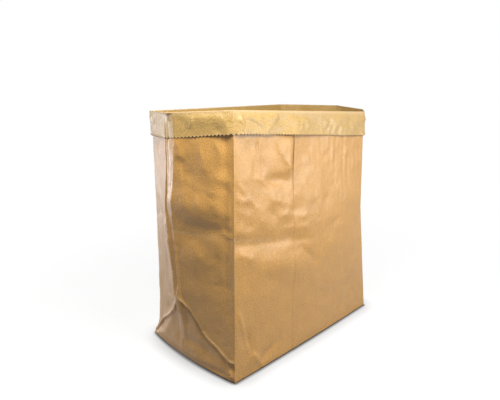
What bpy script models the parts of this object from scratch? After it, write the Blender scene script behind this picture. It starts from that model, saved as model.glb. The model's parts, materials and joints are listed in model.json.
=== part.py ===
"""Paper yard waste bag, standing open with its top edge turned down into a cuff.

The bag is a gusseted tube of two kraft plies, an outer ply and a liner, closed
by a pasted flat base. It is folded from flat sheet, so every panel between two
creases is a flat sheet of paper: front, back, four half gussets, the two
triangular feet that the base fold leaves at the ends, and the soft corners on
the right. Each panel of each ply is one object. The cuff is one strip per
straight stretch of the rim, hinged on its fold line. Metres, +Z up, the front
panel faces -Y, and the origin is on the floor under the middle of the bag.
"""
import math

import bmesh
import bpy
from mathutils import Matrix, Vector

# Tube and paper
panel_width = 0.510
gusset_width = 0.300
tube_length = 0.609
ply = 0.0004
ply_gap = 0.0003
clearance = 0.00025

# Open mouth: how far it draws in from the base, and how far the gussets pop out
mouth_draw_in = 0.0105
gusset_pop = 0.0525
soft_corner = 0.034
soft_corner_full = 0.300

# Top of the triangular foot at each end: its height, and how far it leans out
foot_height = 0.160
foot_lean = 0.035

# How much of the tube is turned down at each corner of the mouth
turn_front_left = 0.044
turn_front_right = 0.060
turn_right_front = 0.056
turn_right_middle = 0.049
turn_right_rear = 0.048
turn_back_right = 0.047
turn_back_left = 0.053
turn_left_middle = 0.051

# Bulge of the two wide panels
panel_bulge = 0.012

# Lap seam down the front, pinked edge, and the pasted base
seam_from_left = 0.184
seam_lap = 0.025
pinking_pitch = 0.0085
pinking_depth = 0.003
base_lap = 0.030

# Grid of the wide panels
panel_cells_wide = 10
panel_cells_low = 6
panel_cells_high = 6

# Sizes that follow from the ones above
mouth_height = tube_length - turn_front_left
deepest_turn = max(turn_front_left, turn_front_right, turn_back_right, turn_back_left)
bulge_top = tube_length - 2 * deepest_turn
half_width = panel_width / 2
half_depth = gusset_width / 2
mouth_half_width = half_width - mouth_draw_in
mouth_half_depth = math.sqrt(half_depth ** 2 - gusset_pop ** 2)
layer = ply + ply_gap
wall = ply + layer
cuff_gap = layer + clearance
hinge_offset = cuff_gap / 2
fold_room = clearance
seam_x = seam_from_left - half_width


def clear_scene():
    """Remove every object of the scene."""
    for obj in list(bpy.data.objects):
        bpy.data.objects.remove(obj, do_unlink=True)


def make_material(name, colour, roughness):
    """Paper: one colour, matt, no metal."""
    material = bpy.data.materials.new(name)
    material.use_nodes = True
    shader = material.node_tree.nodes["Principled BSDF"]
    shader.inputs["Base Color"].default_value = (*colour, 1.0)
    shader.inputs["Roughness"].default_value = roughness
    shader.inputs["Metallic"].default_value = 0.0
    material.diffuse_color = (*colour, 1.0)
    return material


def add_object(name, points, faces, material, parent=None):
    """One closed body from points and faces, with its faces turned outwards."""
    mesh = bpy.data.meshes.new(name)
    shape = bmesh.new()
    corners = [shape.verts.new(point) for point in points]
    for face in faces:
        shape.faces.new([corners[index] for index in face])
    bmesh.ops.recalc_face_normals(shape, faces=shape.faces)
    shape.to_mesh(mesh)
    shape.free()
    mesh.materials.append(material)
    obj = bpy.data.objects.new(name, mesh)
    bpy.context.scene.collection.objects.link(obj)
    obj.parent = parent
    return obj


class Edge:
    """A crease or corner line, from its lowest point through its bends to the mouth."""

    def __init__(self, points, turned, level_low=None):
        self.points = points
        self.turned = turned
        self.level_low = level_low or points[0]

    def at(self, height):
        """The point of the line at a height."""
        index = 0
        while index < len(self.points) - 2 and height > self.points[index + 1].z:
            index += 1
        low, high = self.points[index], self.points[index + 1]
        return low.lerp(high, (height - low.z) / (high.z - low.z))

    @property
    def low(self):
        return self.points[0]

    @property
    def top(self):
        return self.at(tube_length - self.turned)

    @property
    def side(self):
        """The line up to the rim."""
        return self.points[:-1] + [self.top]


def corner_edges(x_side, y_side):
    """Base corner, mouth corner and the crease point beside it on one gusset."""
    base = Vector((x_side * half_width, y_side * half_depth, 0))
    mouth = Vector((x_side * mouth_half_width, y_side * mouth_half_depth, mouth_height))
    crease = Vector((x_side * (mouth_half_width + gusset_pop), 0, mouth_height))
    return base, mouth, crease


def crease_edge(x_side, turned):
    """Middle crease of a gusset, from the top of the foot to the mouth.

    The foot's top lies inside the plane of either gusset half, so each half bends
    from its base corner to the mouth. level_low is where that plane meets the middle
    at the foot's height: its horizontal direction there is the same as at the mouth.
    """
    base, mouth, crease = corner_edges(x_side, -1)
    foot_top = Vector((x_side * (half_width + foot_lean), 0, foot_height))
    corner = base.lerp(mouth, foot_height / mouth_height)
    across = crease - mouth
    return Edge([foot_top, crease], turned, corner + across * (-corner.y / across.y))


def sharp_edge(x_side, y_side, turned):
    """A corner that keeps its crease all the way up."""
    base, mouth, _ = corner_edges(x_side, y_side)
    return Edge([base, mouth], turned)


def soft_edges(x_side, y_side, panel_turned, gusset_turned):
    """A corner that opens from the base into a narrow slanting facet.

    Its two edges part evenly up to where the facet has its full width, and from
    there they keep their distance from the corner that they replace.
    """
    base, mouth, crease = corner_edges(x_side, y_side)
    corner = base.lerp(mouth, soft_corner_full / mouth_height)
    along_panel = Vector((-x_side * soft_corner, 0, 0))
    along_gusset = (crease - mouth).normalized() * soft_corner
    return (Edge([base, corner + along_panel, mouth + along_panel], panel_turned),
            Edge([base, corner + along_gusset, mouth + along_gusset], gusset_turned))


def make_edges():
    """All the creases and corners, by name."""
    front_right, right_front = soft_edges(1, -1, turn_front_right, turn_right_front)
    back_right, right_rear = soft_edges(1, 1, turn_back_right, turn_right_rear)
    return {
        "front_left": sharp_edge(-1, -1, turn_front_left),
        "front_right": front_right,
        "right_front": right_front,
        "right_middle": crease_edge(1, turn_right_middle),
        "right_rear": right_rear,
        "back_right": back_right,
        "back_left": sharp_edge(-1, 1, turn_back_left),
        "left_middle": crease_edge(-1, turn_left_middle),
    }


class Facet:
    """One panel of the tube, with its corners anticlockwise seen from outside.

    level holds the corners in the panel's plane, where one of them bends out of it.
    """

    def __init__(self, name, corners, edges=None, soft=False, level=None):
        self.name = name
        self.corners = corners
        self.edges = edges
        self.soft = soft
        self.level = level or corners
        first, second, last = self.level[0], self.level[1], self.level[-1]
        self.normal = (second - first).cross(last - first).normalized()
        self.neighbours = []


class Floor:
    """What the lowest sides of the tube meet: the flat base."""

    normal = Vector((0, 0, -1))
    soft = False


FLOOR = Floor()


def make_facets(edges):
    """Every panel of the tube, in order round it. A soft corner is bent, so it is two facets."""
    def panel(name, a, b):
        a, b = edges[a], edges[b]
        upper = [*b.side[1:], *reversed(a.side[1:])]
        level = [a.level_low, b.level_low, *upper]
        return [Facet(name, [a.low, b.low, *upper], (a, b), level=level)]

    def soft(name, a, b):
        a, b = edges[a], edges[b]
        _, bend_a, top_a = a.side
        _, bend_b, top_b = b.side
        return [Facet(name + "_low", [a.low, bend_b, bend_a], soft=True),
                Facet(name, [bend_a, bend_b, top_b, top_a], (a, b), soft=True)]

    def foot(name, a, b, middle):
        return [Facet(name, [edges[a].low, edges[b].low, edges[middle].low])]

    return [
        *panel("front_panel", "front_left", "front_right"),
        *soft("front_right_corner", "front_right", "right_front"),
        *panel("right_gusset_front", "right_front", "right_middle"),
        *foot("right_foot", "right_front", "right_rear", "right_middle"),
        *panel("right_gusset_rear", "right_middle", "right_rear"),
        *soft("back_right_corner", "right_rear", "back_right"),
        *panel("back_panel", "back_right", "back_left"),
        *panel("left_gusset_rear", "back_left", "left_middle"),
        *foot("left_foot", "back_left", "front_left", "left_middle"),
        *panel("left_gusset_front", "left_middle", "front_left"),
    ]


def same_point(first, second):
    """Whether two corners are one point."""
    return (first - second).length < clearance


def find_neighbours(facets):
    """For each side of each facet, the facet or the floor that it meets, or None at the rim.

    Two facets meet where they share a corner and one side lies along the other.
    """
    def sides(facet):
        return list(zip(facet.corners, facet.corners[1:] + facet.corners[:1]))

    def touches(side, other):
        start, end = other
        low, high = side
        run = (high - low).normalized()
        off = [((point - low) - run * (point - low).dot(run)).length for point in (start, end)]
        shared = any(same_point(p, q) for p in side for q in other)
        return shared and max(off) < clearance

    for facet in facets:
        for side in sides(facet):
            found = None
            if max(side[0].z, side[1].z) < clearance:
                found = FLOOR
            for other in facets:
                if other is not facet and any(touches(side, edge) for edge in sides(other)):
                    found = other
            facet.neighbours.append(found)


def mitre(facet, other, depth):
    """How far a side moves inwards at a depth, to meet the sheet beyond the crease."""
    return depth * math.tan(facet.normal.angle(other.normal) / 2) + ply_gap / 2


def side_moves(facet, index, depth):
    """The inward moves of a side's two ends.

    A soft corner narrows to nothing at the base, so there the sheets on either
    side of it meet each other, and the lower end takes their sharper turn.
    """
    other = facet.neighbours[index]
    if other is None:
        return fold_room, fold_room
    moves = [mitre(facet, other, depth)] * 2
    ends = (facet.corners[index], facet.corners[(index + 1) % len(facet.corners)])
    low = 0 if ends[0].z < ends[1].z else 1
    if other.soft and not facet.soft and ends[low].z < clearance:
        beyond = next(far for far in other.neighbours if not far.soft and far is not facet)
        moves[low] = mitre(facet, beyond, depth)
    return moves


def inset_loop(facet, depth):
    """Corners of a facet at a depth under its outer face, trimmed at its creases."""
    count = len(facet.corners)
    lines = []
    for index in range(count):
        start, end = facet.level[index], facet.level[(index + 1) % count]
        inward = facet.normal.cross(end - start).normalized()
        move_start, move_end = side_moves(facet, index, depth)
        first, last = start + inward * move_start, end + inward * move_end
        lines.append((first, (last - first).normalized()))
    corners = []
    for index in range(count):
        point, run = lines[index - 1]
        next_point, next_run = lines[index]
        span = run.cross(next_run)
        reach = (next_point - point).cross(next_run).dot(span) / span.length_squared
        bent = facet.corners[index] - facet.level[index]
        corners.append(point + run * reach + bent - facet.normal * depth)
    return corners


def prism(name, lower, upper, material, parent=None):
    """Closed body between two loops of as many points."""
    count = len(lower)
    faces = [tuple(range(count)), tuple(range(2 * count - 1, count - 1, -1))]
    for index in range(count):
        after = (index + 1) % count
        faces.append((index, index + count, after + count, after))
    return add_object(name, list(lower) + list(upper), faces, material, parent)


def bulge(facet, point):
    """Outward bulge of a wide panel: none at its creases, at the base or under the cuff.

    A parabola across the width, times a sine squared up to the cuff's lowest edge.
    """
    rise = min(max(point.z / bulge_top, 0), 1)
    start, end = (edge.at(point.z).x for edge in facet.edges)
    across = min(max((point.x - start) / (end - start), 0), 1)
    return panel_bulge * 4 * across * (1 - across) * math.sin(math.pi * rise) ** 2


def up_side(points, share):
    """The point at a share of the way up a side, whose bend lies at a fixed share."""
    bend = soft_corner_full / mouth_height
    if len(points) == 2:
        return points[0].lerp(points[1], share)
    if share < bend:
        return points[0].lerp(points[1], share / bend)
    return points[1].lerp(points[2], (share - bend) / (1 - bend))


def panel_rows(facet, depth, left, right):
    """Rows of points up a panel, each with its two ends, cut at two x places if given."""
    corners = inset_loop(facet, depth)
    count_b = len(facet.edges[1].side)
    side_b = corners[1:1 + count_b]
    side_a = [corners[0], *reversed(corners[1 + count_b:])]
    bend = soft_corner_full / mouth_height
    shares = [bend * step / panel_cells_low for step in range(panel_cells_low)]
    shares += [bend + (1 - bend) * step / panel_cells_high for step in range(panel_cells_high + 1)]
    rows = []
    for share in shares:
        start, end = up_side(side_a, share), up_side(side_b, share)
        first = 0 if left is None else (left - start.x) / (end.x - start.x)
        last = 1 if right is None else (right - start.x) / (end.x - start.x)
        rows.append((start.lerp(end, first), start.lerp(end, last)))
    return rows


def bulged_sheet(name, facet, depth, material, left=None, right=None, lap=0.0):
    """One ply of a wide panel, as a grid on each face and a rim of quads between.

    With lap, the strip beside the left end stands out by one layer, to lie over
    the edge of the sheet next to it.
    """
    surfaces = []
    for level in (depth, depth + ply):
        rows = panel_rows(facet, level, left, right)
        points = []
        for start, end in rows:
            width = (end - start).length
            shares = [step / panel_cells_wide for step in range(panel_cells_wide + 1)]
            lifts = [0.0] * len(shares)
            if lap:
                shares = [0, lap / width] + [
                    (lap + 2 * layer) / width + step / panel_cells_wide
                    * (1 - (lap + 2 * layer) / width) for step in range(panel_cells_wide + 1)]
                lifts = [layer, layer] + [0.0] * (panel_cells_wide + 1)
            for share, lift in zip(shares, lifts):
                point = start.lerp(end, share)
                points.append(point + facet.normal * (bulge(facet, point) + lift))
        surfaces.append(points)
    last_row = panel_cells_low + panel_cells_high
    size = len(surfaces[0])
    columns = size // (last_row + 1)

    def at(row, column, face):
        return face * size + row * columns + column

    faces = []
    for row in range(last_row):
        for column in range(columns - 1):
            for face in (0, 1):
                faces.append((at(row, column, face), at(row, column + 1, face),
                              at(row + 1, column + 1, face), at(row + 1, column, face)))
    for column in range(columns - 1):
        for row in (0, last_row):
            faces.append((at(row, column, 0), at(row, column, 1),
                          at(row, column + 1, 1), at(row, column + 1, 0)))
    for row in range(last_row):
        for column in (0, columns - 1):
            faces.append((at(row, column, 0), at(row + 1, column, 0),
                          at(row + 1, column, 1), at(row, column, 1)))
    return add_object(name, surfaces[0] + surfaces[1], faces, material)


def bent_sheet(name, outer, inner, first_face, other_face, material):
    """Closed body between two loops whose faces bend along one line."""
    count = len(outer)
    faces = [first_face, other_face]
    faces += [tuple(index + count for index in face) for face in (first_face, other_face)]
    for index in range(count):
        after = (index + 1) % count
        faces.append((index, index + count, after + count, after))
    return add_object(name, outer + inner, faces, material)


def soft_corner_sheet(name, lower, upper, depth, material):
    """One ply of a soft corner: its two facets joined along their bend."""
    loops = []
    for level in (depth, depth + ply):
        low, low_b, low_a = inset_loop(lower, level)
        high_a, high_b, top_b, top_a = inset_loop(upper, level)
        loops.append([low, (low_b + high_b) / 2, top_b, top_a, (low_a + high_a) / 2])
    return bent_sheet(name, *loops, (0, 1, 4), (1, 2, 3, 4), material)


def gusset_sheet(name, facet, depth, material):
    """One ply of a gusset half, bent from its base corner to the top of its middle crease."""
    loops = [inset_loop(facet, level) for level in (depth, depth + ply)]
    count = len(facet.corners)
    foot = next(i for i in range(count) if facet.corners[i] is not facet.level[i])
    lower = ((foot - 1) % count, foot, (foot + 1) % count)
    rest = tuple(i for i in range(count) if i != foot)
    return bent_sheet(name, *loops, lower, rest, material)


def make_walls(facets, outer_paper, liner_paper):
    """Both plies of every panel; the outer front ply is two sheets in a lap seam."""
    named = {facet.name: facet for facet in facets}
    for facet in facets:
        for prefix, depth, paper in (("outer", 0, outer_paper), ("liner", layer, liner_paper)):
            name = f"{prefix}_{facet.name}"
            if name == "outer_front_panel":
                bulged_sheet("outer_front_left_panel", facet, depth, paper, right=seam_x + seam_lap)
                bulged_sheet("outer_front_right_panel", facet, depth, paper,
                             left=seam_x, lap=seam_lap + ply_gap)
            elif facet.name in ("front_panel", "back_panel"):
                bulged_sheet(name, facet, depth, paper)
            elif "gusset" in facet.name:
                gusset_sheet(name, facet, depth, paper)
            elif facet.soft and facet.edges:
                soft_corner_sheet(name, named[facet.name + "_low"], facet, depth, paper)
            elif not facet.soft:
                prism(name, inset_loop(facet, depth), inset_loop(facet, depth + ply), paper)


def base_flap(name, profile, y_side, material):
    """A flap of the base: a folded profile in y and z, with its ends cut at 45 degrees.

    profile lists (distance from the bag's middle line, height) around the sheet's
    section. The flap is as wide as the panel at its crease and narrows by the
    distance it reaches inwards at each end.
    """
    ends = []
    for x_side in (-1, 1):
        ends.append([Vector((x_side * (half_width - half_depth + distance), y_side * distance, height))
                     for distance, height in profile])
    return prism(name, *ends, material)


def make_base(outer_paper, liner_paper):
    """Pasted base: two flaps that overlap, two folded tucks on them, and the liner's base."""
    edge = half_depth - ply_gap / 2
    half_lap = base_lap / 2
    base_flap("base_front_flap", [
        (edge, 0), (-half_lap, 0), (-half_lap, ply), (edge - ply, ply)], -1, outer_paper)
    step_end = -half_lap - ply_gap
    base_flap("base_back_flap", [
        (edge, 0), (half_lap + layer, 0), (half_lap + ply_gap, layer), (step_end, layer),
        (step_end, layer + ply), (half_lap + layer + ply_gap, layer + ply),
        (half_lap + 2 * layer, ply), (edge - ply, ply)], 1, outer_paper)
    tuck_height = 2 * layer
    room = wall + 2 * ply_gap
    for side, x_side in (("left", -1), ("right", 1)):
        corners = [
            Vector((x_side * (half_width - room), -(half_depth - 2 * room), tuck_height)),
            Vector((x_side * (half_width - room), half_depth - 2 * room, tuck_height)),
            Vector((x_side * (half_width - half_depth), 0, tuck_height))]
        top = [corner + Vector((0, 0, ply)) for corner in corners]
        prism(f"base_{side}_tuck", corners, top, outer_paper)
    liner_height = 3 * layer
    corners = [Vector((x * (half_width - room), y * (half_depth - room), liner_height))
               for x, y in ((-1, -1), (1, -1), (1, 1), (-1, 1))]
    top = [corner + Vector((0, 0, ply)) for corner in corners]
    prism("liner_base", corners, top, liner_paper)


def cuff_outline(length, heights, slopes, turns):
    """Outline of a cuff strip: x along the fold, y down from it, with a pinked lower edge.

    slopes give, for each end, how far the corner's crease runs along the fold for
    each metre down. An end stays inside its crease both as the cuff hangs and as it
    stands turned up, where the crease leans the other way, and there it also clears
    the next strip by the mitre of the whole wall.
    """
    room = hinge_offset + wall + clearance

    def ends(depth):
        insets = []
        for slope, turn in zip(slopes, turns):
            hanging = clearance + depth * slope
            raised = room * math.tan(turn / 2) + clearance - depth * slope
            insets.append(max(hanging, raised))
        return insets[0], length - insets[1]

    left_top, right_top = ends(0)
    left_low, right_low = ends(max(heights))
    outline = [Vector((left_top, fold_room)), Vector((right_top, fold_room))]
    teeth = max(1, round((right_low - left_low) / pinking_pitch))
    for step in range(2 * teeth, -1, -1):
        along = left_low + (right_low - left_low) * step / (2 * teeth)
        cut = heights[0] + (heights[1] - heights[0]) * along / length
        outline.append(Vector((along, cut - pinking_depth * (1 - step % 2))))
    return outline


def make_cuffs(facets, outer_paper, liner_paper):
    """Two plies per cuff strip, under an empty on the fold line whose +X runs along it."""
    rims = [facet for facet in facets if facet.edges]
    for index, facet in enumerate(rims):
        first, second = facet.edges
        start, end = first.top, second.top
        along = (end - start).normalized()
        up = facet.normal.cross(along)
        frame = Matrix((along, up, facet.normal)).transposed().to_4x4()
        frame.translation = start + facet.normal * hinge_offset
        hinge = bpy.data.objects.new(f"{facet.name}_fold_line", None)
        hinge.matrix_world = frame
        bpy.context.scene.collection.objects.link(hinge)
        slopes = []
        turns = []
        for other, inward in ((rims[index - 1], 1), (rims[(index + 1) % len(rims)], -1)):
            corner = facet.normal.cross(other.normal)
            slopes.append(-inward * corner.dot(along) / corner.dot(up))
            turns.append(facet.normal.angle(other.normal))
        heights = (first.turned, second.turned)
        outline = cuff_outline((end - start).length, heights, slopes, turns)
        for ply_name, offset, paper in (("outer_ply", 0, outer_paper), ("liner", layer, liner_paper)):
            level = hinge_offset + offset
            inner = [Vector((point.x, -point.y, level)) for point in outline]
            outer = [Vector((point.x, -point.y, level + ply)) for point in outline]
            cuff = facet.name.replace("_panel", "").replace("gusset_", "")
            prism(f"{cuff}_cuff_{ply_name}", inner, outer, paper, hinge)


def main():
    clear_scene()
    outer_paper = make_material("outer_kraft", (0.56, 0.31, 0.13), 0.85)
    liner_paper = make_material("liner_kraft", (0.68, 0.44, 0.18), 0.85)
    facets = make_facets(make_edges())
    find_neighbours(facets)
    make_walls(facets, outer_paper, liner_paper)
    make_base(outer_paper, liner_paper)
    make_cuffs(facets, outer_paper, liner_paper)


main()
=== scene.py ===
"""Looks of the paper yard waste bag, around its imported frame.

The bag is two plies of kraft paper. Each ply's wall is one lofted sheet: a ring
is drawn round the bag at every height, its corners are rounded, and the dents,
folds and packing creases of handled paper move it in or out. The cuff is the
same ring hung down outside the wall, one strip per fold line. Every piece keeps
a UV map named sheet, in metres on the flat paper: across the web, and along it.
Metres, +Z up, the front faces -Y.
"""

import json
import math

import bpy
import numpy as np
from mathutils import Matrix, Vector


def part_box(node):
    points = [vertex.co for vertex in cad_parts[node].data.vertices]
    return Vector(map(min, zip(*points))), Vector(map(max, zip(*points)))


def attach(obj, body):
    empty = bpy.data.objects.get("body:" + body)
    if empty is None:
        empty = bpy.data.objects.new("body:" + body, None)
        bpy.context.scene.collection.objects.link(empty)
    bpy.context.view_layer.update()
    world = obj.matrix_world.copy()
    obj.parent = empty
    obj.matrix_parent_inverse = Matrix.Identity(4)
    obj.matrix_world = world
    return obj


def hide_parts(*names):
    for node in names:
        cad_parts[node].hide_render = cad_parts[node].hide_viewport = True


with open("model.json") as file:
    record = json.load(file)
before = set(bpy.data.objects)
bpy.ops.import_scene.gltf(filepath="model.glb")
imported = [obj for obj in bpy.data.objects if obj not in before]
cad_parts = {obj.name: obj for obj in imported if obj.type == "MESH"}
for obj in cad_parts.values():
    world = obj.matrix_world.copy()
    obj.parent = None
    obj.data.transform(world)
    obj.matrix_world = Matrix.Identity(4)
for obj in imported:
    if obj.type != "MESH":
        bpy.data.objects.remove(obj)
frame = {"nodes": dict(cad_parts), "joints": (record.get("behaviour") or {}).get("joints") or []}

bl_info = {
    "name": "Paper yard waste bag",
    "version": (1, 0, 0),
    "blender": (4, 5, 0),
    "location": "3D View > Sidebar > Yard Bag",
    "description": "Lofted kraft plies, pinked cuff and pasted base for the paper yard waste bag",
    "category": "Add Mesh",
}

# The corner lines round the bag, anticlockwise from above. The stretch of wall
# that starts at a corner line has the same number.
FRONT_LEFT, FRONT_RIGHT, RIGHT_FRONT, RIGHT_MIDDLE = 0, 1, 2, 3
RIGHT_REAR, BACK_RIGHT, BACK_LEFT, LEFT_MIDDLE = 4, 5, 6, 7
SOFT_LINES = (FRONT_RIGHT, RIGHT_FRONT, RIGHT_REAR, BACK_RIGHT)
GUSSET_STRETCHES = (RIGHT_FRONT, RIGHT_MIDDLE, BACK_LEFT, LEFT_MIDDLE)

# The cuff strip that hangs from each stretch of the rim
STRIPS = ["front_cuff", "front_right_corner_cuff", "right_front_cuff", "right_rear_cuff",
          "back_right_corner_cuff", "back_cuff", "left_rear_cuff", "left_front_cuff"]

# The paper tube as the frame has it: thickness of a ply, distance between plies, the rim's
# hinges and the cuff from the wall, the tube, the base, and where a soft corner is full
PLY = 0.0004
LAYER = 0.0007
HINGE_OUT = 0.000475
CUFF_GAP = 0.00095
TUBE_LENGTH = 0.609
HALF_WIDTH = 0.255
HALF_DEPTH = 0.150
SOFT_FULL = 0.300
LINER_GAP = 0.0002
FOOT_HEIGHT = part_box("outer_left_foot")[1].z
FOOT_OUT = -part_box("outer_left_foot")[0].x
SEAM_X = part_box("outer_front_right_panel")[0].x
LAP_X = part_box("outer_front_left_panel")[1].x
# A full turn
TURN = 2 * math.pi

# Roundings: a soft corner where it leaves the base, a gusset's middle, and what the sagging
# corner gains below the rim
SOFT_FOOT_RADIUS = 0.0015
MIDDLE_RADIUS = 0.004
SAG_RADIUS = 0.004

# Heights: the lowest at which the ring is worked out, since a soft corner has no width at the
# floor, the top of the wide panels' bulge, the rim that the wall's rows are spaced for, and
# the packing fold at the corner with its fall across the front
LOWEST_RING = 0.0005
BULGE_TOP = 0.489
ROW_TOP = 0.564
PACKING_HEIGHT = 0.314
PACKING_FALL = 0.20

# Where a gusset meets its foot: how softly, and the share of a height that is distance
FOOT_BLEND = 0.003
FOOT_SLOPE = 0.72

# How far the left back corner sags in: heights, distances, and the way in x and y
SAG_HEIGHTS = [0, 0.008, 0.016, 0.024, 0.034, 0.05, 0.10, 0.17, 0.24, 0.34, 0.44, 0.50,
               0.53, 0.56, 0.60]
SAG_REACH = [0, 0.0025, 0.0065, 0.0105, 0.0130, 0.0140, 0.0145, 0.0145, 0.0130, 0.0105,
             0.0085, 0.0065, 0.0035, 0.0015, 0]
SAG_WAY = (0.85, -0.53)

# The crease where the left gusset's front half laps over the foot: y against height
FOOT_CREASE_Y = [-0.150, -0.136, -0.104, -0.078, -0.064, -0.050, -0.031, -0.008, 0,
                 0.008, 0.0225, 0.067, 0.108, 0.150]
FOOT_CREASE_Z = [0.045, 0.046, 0.067, 0.0815, 0.092, 0.113, 0.136, 0.153, 0.160,
                 0.142, 0.119, 0.082, 0.054, 0.004]

# The fold beside a gusset's middle: heights, ridge, groove, angle in degrees, riser run and rise
MIDDLE_FOLD = np.array([
    (0.160, 0.175, 0.190, 0.254, 0.320, 0.350, 0.383, 0.430, 0.507, 0.560),
    (0, -0.0040, -0.0080, -0.0045, 0, -0.0010, -0.0040, -0.0100, -0.0185, -0.0190),
    (0.0005, -0.0005, -0.0010, 0.0020, 0.0080, 0.0200, 0.0210, 0.0165, 0.0125, 0.0115),
    (0, 0, 0, 0, 3, 10, 10, 15, 20, 20),
    (0.006, 0.010, 0.012, 0.010, 0.009, 0.003, 0.0025, 0.0025, 0.0025, 0.0020),
    (0, 0.0040, 0.0095, 0.0090, 0.0070, 0.0035, 0.0032, 0.0026, 0.0020, 0.0015)])
# The angle between a gusset's halves
MIDDLE_TURN = 0.715

# Dents and creases, on the flat paper in metres: across from the front left corner, and
# height. A dent's row is height out, centre, size and turn. A crease's is height out, start,
# end, and its width on the left and on the right of that way.
FRONT_DENTS = [
    (-0.0038, (0.128, 0.418), (0.034, 0.012), -0.20),
    (0.0024, (0.018, 0.328), (0.030, 0.011), -0.2),
    (0.0047, (0.122, 0.236), (0.098, 0.027), -0.36),
    (-0.0052, (0.032, 0.085), (0.015, 0.032), 0.3),
    (-0.0034, (0.100, 0.030), (0.040, 0.012), 0.5)]
FRONT_CREASES = [
    (0.0018, (0.006, 0.430), (0.060, 0.372), 0.005, 0.003),
    (0.0016, (0.020, 0.402), (0.085, 0.356), 0.004, 0.006),
    (0.0015, (0.045, 0.440), (0.110, 0.400), 0.006, 0.004),
    (0.0014, (0.200, 0.420), (0.260, 0.350), 0.005, 0.008),
    (0.0022, (0.094, 0.384), (0.185, 0.352), 0.016, 0.007),
    (0.0016, (0.183, 0.500), (0.240, 0.440), 0.006, 0.012),
    (0.0020, (0.120, 0.345), (0.245, 0.323), 0.005, 0.012),
    (0.0014, (0.120, 0.313), (0.235, 0.300), 0.003, 0.007),
    (-0.0046, (-0.050, 0.311), (0.270, 0.261), 0.020, 0.016),
    (-0.0030, (0.175, 0.280), (0.270, 0.195), 0.010, 0.012),
    (0.0018, (-0.002, 0.402), (0.034, 0.386), 0.004),
    (0.0014, (0.004, 0.372), (0.050, 0.352), 0.006),
    (0.0026, (0.004, 0.285), (0.060, 0.262), 0.004, 0.008),
    (0.0044, (0.008, 0.170), (0.046, 0.040), 0.003, 0.009),
    (0.0042, (0.050, 0.055), (0.085, 0.004), 0.003, 0.010),
    (0.0014, (0.300, 0.105), (0.460, 0.140), 0.020, 0.010),
    (0.0012, (0.200, 0.120), (0.330, 0.060), 0.016, 0.010)]
GUSSET_DENTS = [
    (-0.0014, (-0.122, 0.462), (0.012, 0.010)),
    (-0.0007, (-0.128, 0.395), (0.012, 0.050)),
    (-0.0018, (-0.010, 0.450), (0.009, 0.060)),
    (0.0030, (-0.050, 0.450), (0.030, 0.060), 0.4),
    (0.0030, (-0.095, 0.255), (0.040, 0.030), -0.3),
    (-0.0024, (-0.050, 0.215), (0.030, 0.045), 0.5)]
GUSSET_CREASES = [
    (0.0022, (-0.130, 0.478), (-0.108, 0.470), 0.004, 0.002),
    (0.0016, (-0.130, 0.505), (-0.118, 0.478), 0.004, 0.003),
    (0.0022, (-0.048, 0.516), (-0.020, 0.472), 0.010, 0.003),
    (0.0034, (-0.034, 0.330), (0.000, 0.318), 0.0018, 0.0050),
    (0.0020, (-0.100, 0.420), (-0.020, 0.400), 0.010, 0.006),
    (0.0018, (-0.075, 0.500), (-0.060, 0.440), 0.006, 0.004),
    (0.0016, (-0.030, 0.440), (-0.050, 0.400), 0.005),
    (0.0016, (-0.105, 0.430), (-0.040, 0.375), 0.012),
    (0.0018, (-0.110, 0.300), (-0.055, 0.235), 0.014, 0.008),
    (0.0014, (-0.012, 0.310), (-0.020, 0.120), 0.007)]
CUFF_CREASES = [
    (0.0022, (0.010, 0.553), (0.040, 0.520), 0.004, 0.002),
    (0.0026, (0.030, 0.556), (0.085, 0.532), 0.008, 0.003),
    (0.0024, (0.075, 0.515), (0.125, 0.556), 0.008, 0.003),
    (0.0012, (-0.030, 0.560), (0.004, 0.520), 0.004),
    (0.0012, (-0.014, 0.556), (0.010, 0.535), 0.003)]

# The same on the foot, against y and height
FOOT_DENTS = [
    (-0.0036, (0.060, 0.112), (0.026, 0.012), -0.6)]
FOOT_CREASES = [
    (0.0034, (0.006, 0.150), (0.060, 0.082), 0.004, 0.008),
    (0.0032, (0.046, 0.096), (0.112, 0.052), 0.004, 0.009),
    (0.0026, (0.026, 0.140), (0.062, 0.140), 0.005, 0.003),
    (0.0022, (0.004, 0.150), (0.006, 0.112), 0.002, 0.006)]

# How far the cuff's lower edge gapes along the front: x, and share of the flare
GAPE_X = [-0.26, -0.245, -0.215, -0.17, -0.08, -0.02, 0.05, 0.20, 0.26]
GAPE = [0.30, 0.35, 0.75, 0.95, 0.90, 0.75, 0.35, 0.30, 0.30]

# The flat triangle beside the seam: how far it leans out, heights of its ridge's ends, and
# their distances from the corner
FACET_OUT = 0.0075
FACET_HEIGHTS = (0.445, 0.530)
FACET_RIDGE = (0.158, 0.095)

# Waves of handled paper, from long to short: height, cell and seed. Wavelengths of the
# front's pleats.
WALL_WAVES = [(0.0016, 0.085, 1), (0.0011, 0.038, 2), (0.0005, 0.019, 15)]
CUFF_WAVES = [(0.0022, 0.040, 8), (0.0014, 0.016, 16)]
PLEATS = (0.029, 0.0187)
SHORT_PLEATS = 0.021
BACK_PLEATS = 0.011

# Short creases strewn over the wall and the cuff: how many, and how far across
CRUMPLES = 620
CRUMPLE_REACH = (-0.85, 1.0)

# Distances from a fold at which a stretch has extra columns
SHARP = (0.0004, 0.0009, 0.0018, 0.0035)
SOFT = (0.003, 0.006, 0.009, 0.012)
BEFORE_MIDDLE = (0.002, 0.004, 0.006, 0.010, 0.014)
AFTER_MIDDLE = (0.002, 0.004, 0.007, 0.009, 0.011, 0.016)

# Widths near the rim: a wide panel, the front's right and left sheets, a right gusset half
# and a soft corner
PANEL_SPAN = 0.455
RIGHT_SHEET_SPAN = 0.285
LEFT_SHEET_SPAN = 0.200
GUSSET_SPAN = 0.116
CORNER_SPAN = 0.056

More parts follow.
